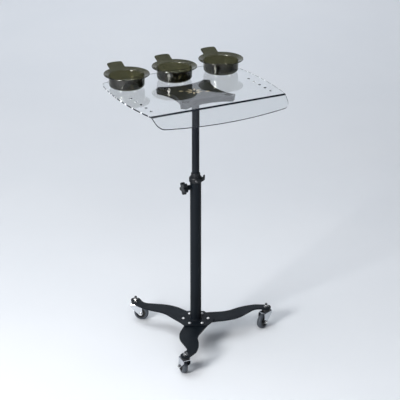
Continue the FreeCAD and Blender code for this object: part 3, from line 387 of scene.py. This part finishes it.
def on_sheet(x, y):
    """Place and normal of the sheet's upper face above a point of the plan."""
    if y >= BEND_Y:
        return Vector((x, y, TRAY_TOP)), Vector((0, 0, 1))
    centre_z = TRAY_TOP - BEND_R
    reach = BEND_R * math.sin(LIP)
    if y >= BEND_Y - reach:
        angle = math.asin((BEND_Y - y) / BEND_R)
        z = centre_z + BEND_R * math.cos(angle)
    else:
        angle = LIP
        run = (BEND_Y - reach - y) / math.cos(LIP)
        z = centre_z + BEND_R * math.cos(LIP) - run * math.sin(LIP)
    return Vector((x, y, z)), Vector((0, -math.sin(angle), math.cos(angle)))


def tray_holes():
    return [(side * HOLE_X, HOLE_FIRST_Y + HOLE_PITCH * k)
            for side in (-1, 1) for k in range(HOLES_A_SIDE)]


def is_sheet(x, y, outline):
    """Whether a point of the plan is inside the outline and outside every hole."""
    for hole_x, hole_y in tray_holes():
        if math.hypot(x - hole_x, y - hole_y) < HOLE_RADIUS - 0.0001:
            return False
    within = False
    for (x1, y1), (x2, y2) in zip(outline, outline[1:] + outline[:1]):
        if (y1 > y) != (y2 > y) and x < x1 + (y - y1) * (x2 - x1) / (y2 - y1):
            within = not within
    return within


def tray_plan():
    """The sheet's plan as points and faces, cut along lines across the bend."""
    outline = tray_outline()
    holes = [arc_points(centre, HOLE_RADIUS, 0.0, -2 * math.pi, 28)[:-1]
             for centre in tray_holes()]
    points, edges = [], []
    for loop in [outline] + holes:
        base = len(points)
        points += [Vector(p) for p in loop]
        edges += [(base + k, base + (k + 1) % len(loop)) for k in range(len(loop))]
    past_side = TRAY_HALF_WIDTH + 0.0015
    first_cut, cut_pitch, cuts = BEND_Y + 0.0005, 0.0011, 9
    for k in range(cuts):
        y = first_cut - k * cut_pitch
        base = len(points)
        points += [Vector((-past_side, y)), Vector((past_side, y))]
        edges.append((base, base + 1))
    flat, _, faces, _, _, _ = delaunay_2d_cdt(points, edges, [], 0, 1e-6)
    kept = []
    for face in faces:
        x = sum(flat[v].x for v in face) / len(face)
        y = sum(flat[v].y for v in face) / len(face)
        if is_sheet(x, y, outline):
            kept.append(face)
    used = sorted({v for face in kept for v in face})
    place = {v: k for k, v in enumerate(used)}
    return [flat[v] for v in used], [tuple(place[v] for v in face) for face in kept]


def make_tray():
    flat, kept = tray_plan()
    count = len(flat)
    lifted = [on_sheet(p.x, p.y) for p in flat]
    vertices = [spot for spot, _ in lifted]
    vertices += [spot - normal * SHEET for spot, normal in lifted]
    a, b, c = (vertices[v] for v in kept[0][:3])
    faces_up = (b - a).cross(c - a).z >= 0
    all_faces = []
    for face in kept:
        top = face if faces_up else face[::-1]
        all_faces.append(top)
        all_faces.append(tuple(v + count for v in reversed(top)))
    borders = [edge for face in kept for edge in zip(face, face[1:] + face[:1])]
    shared = set(borders)
    for a, b in borders:
        if (b, a) in shared:
            continue
        if faces_up:
            all_faces.append((b, a, a + count, b + count))
        else:
            all_faces.append((a, b, b + count, a + count))
    mesh = bpy.data.meshes.new("tray_sheet")
    mesh.from_pydata([tuple(v) for v in vertices], [], all_faces)
    mesh.update()

    def ease(carrier):
        bevel = carrier.modifiers.new("ease", "BEVEL")
        bevel.width = 0.0006
        bevel.segments = 2
        bevel.limit_method = "ANGLE"
        bevel.angle_limit = math.radians(50)

    mesh = modified(mesh, ease)
    soften(mesh, 24.0)
    lip_normal = Vector((0, -math.sin(LIP), math.cos(LIP)))
    flat_enough = 0.99996
    for polygon in mesh.polygons:
        face = (abs(polygon.normal.z) > flat_enough
                or abs(polygon.normal.dot(lip_normal)) > flat_enough)
        polygon.use_smooth = not face
        polygon.material_index = 0 if face else 1
    piece = new_piece("tray_sheet", mesh, "clear_acrylic", "upper_column", "tray")
    piece.data.materials.append(MATERIALS["cut_edge"])


# -------------------------------------------- bowls: lathed wall, flared rim and raised tab

def tab_reach(angle):
    """How far the rim goes out at this angle from the bowl's back."""
    past_tab, edge_of_tab = 0.45, 0.375
    arch_height, arch_half_angle = 0.0025, 0.216
    if abs(angle) > past_tab:
        return BOWL_RIM
    side = abs(math.sin(angle))
    reach = TAB_HALF_WIDTH / side if side > 1e-6 else 1.0
    arch = arch_height * max(0.0, 1.0 - (angle / arch_half_angle) ** 2)
    reach = min(reach, (TAB_END + arch) / math.cos(angle))
    cx, cy = TAB_HALF_WIDTH - TAB_CORNER, TAB_END - TAB_CORNER
    x, y = reach * side, reach * math.cos(angle)
    if x > cx and y > cy:
        along = cx * side + cy * math.cos(angle)
        gap = cx * cx + cy * cy - TAB_CORNER * TAB_CORNER
        reach = along + math.sqrt(max(along * along - gap, 0.0))
    blend = (math.tanh((edge_of_tab - abs(angle)) * 60.0) + 1) / 2
    return BOWL_RIM + max(0.0, reach - BOWL_RIM) * blend


def flare_height(radius, angle, root_r, root_z):
    """Height of the flared rim's inner face. The tab rises in a curve beyond its start."""
    slope, tab_start, tab_rise, ease = 0.335, 0.066, 0.17, 0.006
    past = max(0.0, radius * math.cos(angle) - tab_start)
    lift = (math.tanh((0.40 - abs(angle)) * 26.0) + 1) / 2
    height = root_z + (radius - root_r) * slope
    return height + lift * tab_rise * past * past / (past + ease)


def bowl_rows(count, steps):
    """Rings of (radius, height) over the tray, from the bowl's middle to the rim's end."""
    floor = BOWL_FOOT + BOWL_WALL
    corner_r, corner_radius = 0.0480, 0.0091
    inner = [(0.0, floor), (0.02, floor), (0.040, floor)]
    for k in range(1, 11):
        angle = math.radians(8.8 * k)
        inner.append((corner_r + corner_radius * math.sin(angle),
                      floor + corner_radius * (1 - math.cos(angle))))
    inner += [(0.0573, 0.0210), (0.0576, 0.0310), (0.0579, 0.0385), (0.0583, 0.0412)]
    inner += [(0.0591, 0.0426), (0.0603, 0.0434)]
    rows = [[point] * count for point in inner]
    root_r, root_z = inner[-1]
    for k in range(1, steps + 1):
        row = []
        for j in range(count):
            angle = (2 * math.pi * j / count + math.pi) % (2 * math.pi) - math.pi
            radius = root_r + (tab_reach(angle) - root_r) * k / steps
            row.append((radius, flare_height(radius, angle, root_r, root_z)))
        rows.append(row)
    return rows


def make_bowl(name, x):
    count = 360
    rows = bowl_rows(count, 12)
    made = bmesh.new()
    grid = []
    centre = made.verts.new((x, BOWL_Y, TRAY_TOP + rows[0][0][1]))
    for row in rows[1:]:
        ring = []
        for j, (radius, height) in enumerate(row):
            turn = 2 * math.pi * j / count
            ring.append(made.verts.new((x + radius * math.sin(turn),
                                        BOWL_Y + radius * math.cos(turn),
                                        TRAY_TOP + height)))
        grid.append(ring)
    for j in range(count):
        k = (j + 1) % count
        made.faces.new((centre, grid[0][k], grid[0][j]))
        for low, high in zip(grid, grid[1:]):
            made.faces.new((low[j], low[k], high[k], high[j]))
    mesh = bpy.data.meshes.new(f"bowl_shell_{name}")
    bmesh.ops.recalc_face_normals(made, faces=made.faces)
    made.to_mesh(mesh)
    made.free()
    if mesh.polygons[0].normal.z < 0:
        mesh.flip_normals()

    def thicken(carrier):
        wall = carrier.modifiers.new("wall", "SOLIDIFY")
        wall.thickness = BOWL_WALL
        wall.offset = -1.0
        wall.use_even_offset = True
        bevel = carrier.modifiers.new("lip", "BEVEL")
        bevel.width = 0.0009
        bevel.segments = 3
        bevel.limit_method = "ANGLE"
        bevel.angle_limit = math.radians(60)

    mesh = modified(mesh, thicken)
    soften(mesh, 50.0)
    new_piece(f"bowl_shell_{name}", mesh, "bowl_smoke", f"bowl_{name}", f"bowl_{name}")


# -------------------------------------------- small ornament on the bracket

def make_ornament():
    """Generic gilt rosette between two lozenges, lying in the gap over the bracket."""
    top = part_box("bracket")[1][2]
    made = bmesh.new()
    along = Vector((0.878, -0.478, 0.0))
    across = Vector((0.478, 0.878, 0.0))
    middle = Vector((-0.003, 0.004, 0.0))
    under, over = top + 0.00004, top + 0.00030
    petal_outline = ((0.007, 0.0), (0.017, -0.0042), (0.030, 0.0), (0.017, 0.0042))
    petals = 8
    shapes = []
    for k in range(petals):
        angle = 2 * math.pi * k / petals
        run, rise = math.cos(angle), math.sin(angle)
        shapes.append([(out * run - aside * rise, out * rise + aside * run)
                       for out, aside in petal_outline])
    for place in (-0.044, 0.044):
        shapes.append([(place - 0.009, 0.0), (place, -0.006), (place + 0.009, 0.0), (place, 0.006)])
    for shape in shapes:
        spots = [middle + along * u + across * v for u, v in shape]
        lower = [made.verts.new((spot.x, spot.y, under)) for spot in spots]
        upper = [made.verts.new((spot.x, spot.y, over)) for spot in spots]
        made.faces.new(lower[::-1])
        made.faces.new(upper)
        for k in range(len(shape)):
            n = (k + 1) % len(shape)
            made.faces.new((lower[k], lower[n], upper[n], upper[k]))
    mesh = bpy.data.meshes.new("gilt_ornament")
    made.to_mesh(mesh)
    made.free()
    piece = placed("gilt_ornament", mesh)
    piece.data.materials.append(MATERIALS["gold"])
    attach(piece, "upper_column")


make_tray()
for name, x in BOWLS.items():
    make_bowl(name, x)
make_ornament()


# -------------------------------------------- floor, backdrop, lights and camera

def studio_paper():
    """Seamless pale paper: the floor, a wide curve and a tall wall behind."""
    made = bmesh.new()
    edge, wall_top, curve_start, curve_radius = 9.0, 6.5, 6.5, 2.5
    profile = [(-edge, 0.0), (-4.0, 0.0), (0.0, 0.0), (3.0, 0.0), (curve_start, 0.0)]
    for k in range(1, 13):
        angle = math.radians(7.5 * k)
        profile.append((curve_start + curve_radius * math.sin(angle),
                        curve_radius * (1 - math.cos(angle))))
    profile.append((edge, wall_top))
    turn = math.radians(28.34)
    across = Vector((math.cos(turn), -math.sin(turn), 0))
    away = Vector((math.sin(turn), math.cos(turn), 0))
    below = 0.0002
    rows = []
    for y, z in profile:
        rows.append([made.verts.new(across * x + away * y + Vector((0, 0, z - below)))
                     for x in (-edge, -4.0, 0.0, 4.0, edge)])
    for low, high in zip(rows, rows[1:]):
        for k in range(4):
            made.faces.new((low[k], low[k + 1], high[k + 1], high[k]))
    mesh = bpy.data.meshes.new("paper")
    made.to_mesh(mesh)
    made.free()
    soften(mesh, 60.0)
    paper = placed("paper", mesh)
    s = Shader("paper")
    tone = s.ramp(s.noise(1.2, 3.0), [(0.3, (0.76, 0.785, 0.82)), (0.7, (0.79, 0.81, 0.84))])
    s.surface(tone, s.spread(s.noise(30.0, 4.0), 0.5, 0.65),
              s.bump(s.noise(420.0, 3.0), 0.05, 0.0003))
    paper.data.materials.append(s.material)


def turned_to(place, aim):
    return (Vector(aim) - Vector(place)).to_track_quat("-Z", "Y").to_euler()


def area_light(name, place, aim, size, watts, colour):
    light = bpy.data.lights.new(name, "AREA")
    light.shape = "RECTANGLE"
    light.size, light.size_y = size
    light.energy = watts
    light.color = colour
    lamp = placed(name, light)
    lamp.location = place
    lamp.rotation_euler = turned_to(place, aim)


def studio_world():
    """Sky light that is strong from behind the cart and weak from the camera's side."""
    world = bpy.data.worlds.new("studio")
    bpy.context.scene.world = world
    world.use_nodes = True
    nodes, link = world.node_tree.nodes, world.node_tree.links.new
    coords = nodes.new("ShaderNodeTexCoord")
    split = nodes.new("ShaderNodeSeparateXYZ")
    depth = nodes.new("ShaderNodeMapRange")
    depth.inputs["From Min"].default_value = -1.0
    ramp = nodes.new("ShaderNodeValToRGB")
    weak, strong = ramp.color_ramp.elements
    weak.position, weak.color = 0.25, (0.05, 0.055, 0.065, 1.0)
    strong.position, strong.color = 0.75, (0.8, 0.86, 0.95, 1.0)
    link(coords.outputs["Generated"], split.inputs["Vector"])
    link(split.outputs["Y"], depth.inputs["Value"])
    link(depth.outputs["Result"], ramp.inputs["Fac"])
    link(ramp.outputs["Color"], nodes["Background"].inputs["Color"])
    nodes["Background"].inputs["Strength"].default_value = 0.45


def photo_camera():
    """Camera at the photograph's viewing angle."""
    place, aim = (-2.4644, -4.6007, 2.6367), (0.0130, -0.0070, 0.52415)
    data = bpy.data.cameras.new("camera")
    data.sensor_width = 36.0
    data.sensor_fit = "HORIZONTAL"
    data.lens = 149.8
    camera = placed("camera", data)
    camera.location = place
    camera.rotation_euler = turned_to(place, aim)
    bpy.context.scene.camera = camera


studio_paper()
area_light("key", (-3.4, -1.5, 2.1), (0.1, 0.0, 0.3),
           size=(1.1, 1.1), watts=172.0, colour=(1.0, 0.99, 0.98))
area_light("top", (-0.8, 0.6, 4.2), (0.0, 0.0, 0.4),
           size=(2.6, 2.6), watts=84.0, colour=(0.96, 0.98, 1.0))
area_light("fill", (-1.2, -4.2, 4.4), (-0.4, -1.2, 0.0),
           size=(1.6, 1.6), watts=45.0, colour=(0.94, 0.97, 1.0))
area_light("backdrop", (1.5, 3.6, 4.6), (3.2, 7.5, 1.2),
           size=(3.0, 2.0), watts=160.0, colour=(0.93, 0.96, 1.0))
studio_world()
photo_camera()
bpy.context.scene.view_settings.view_transform = "Standard"
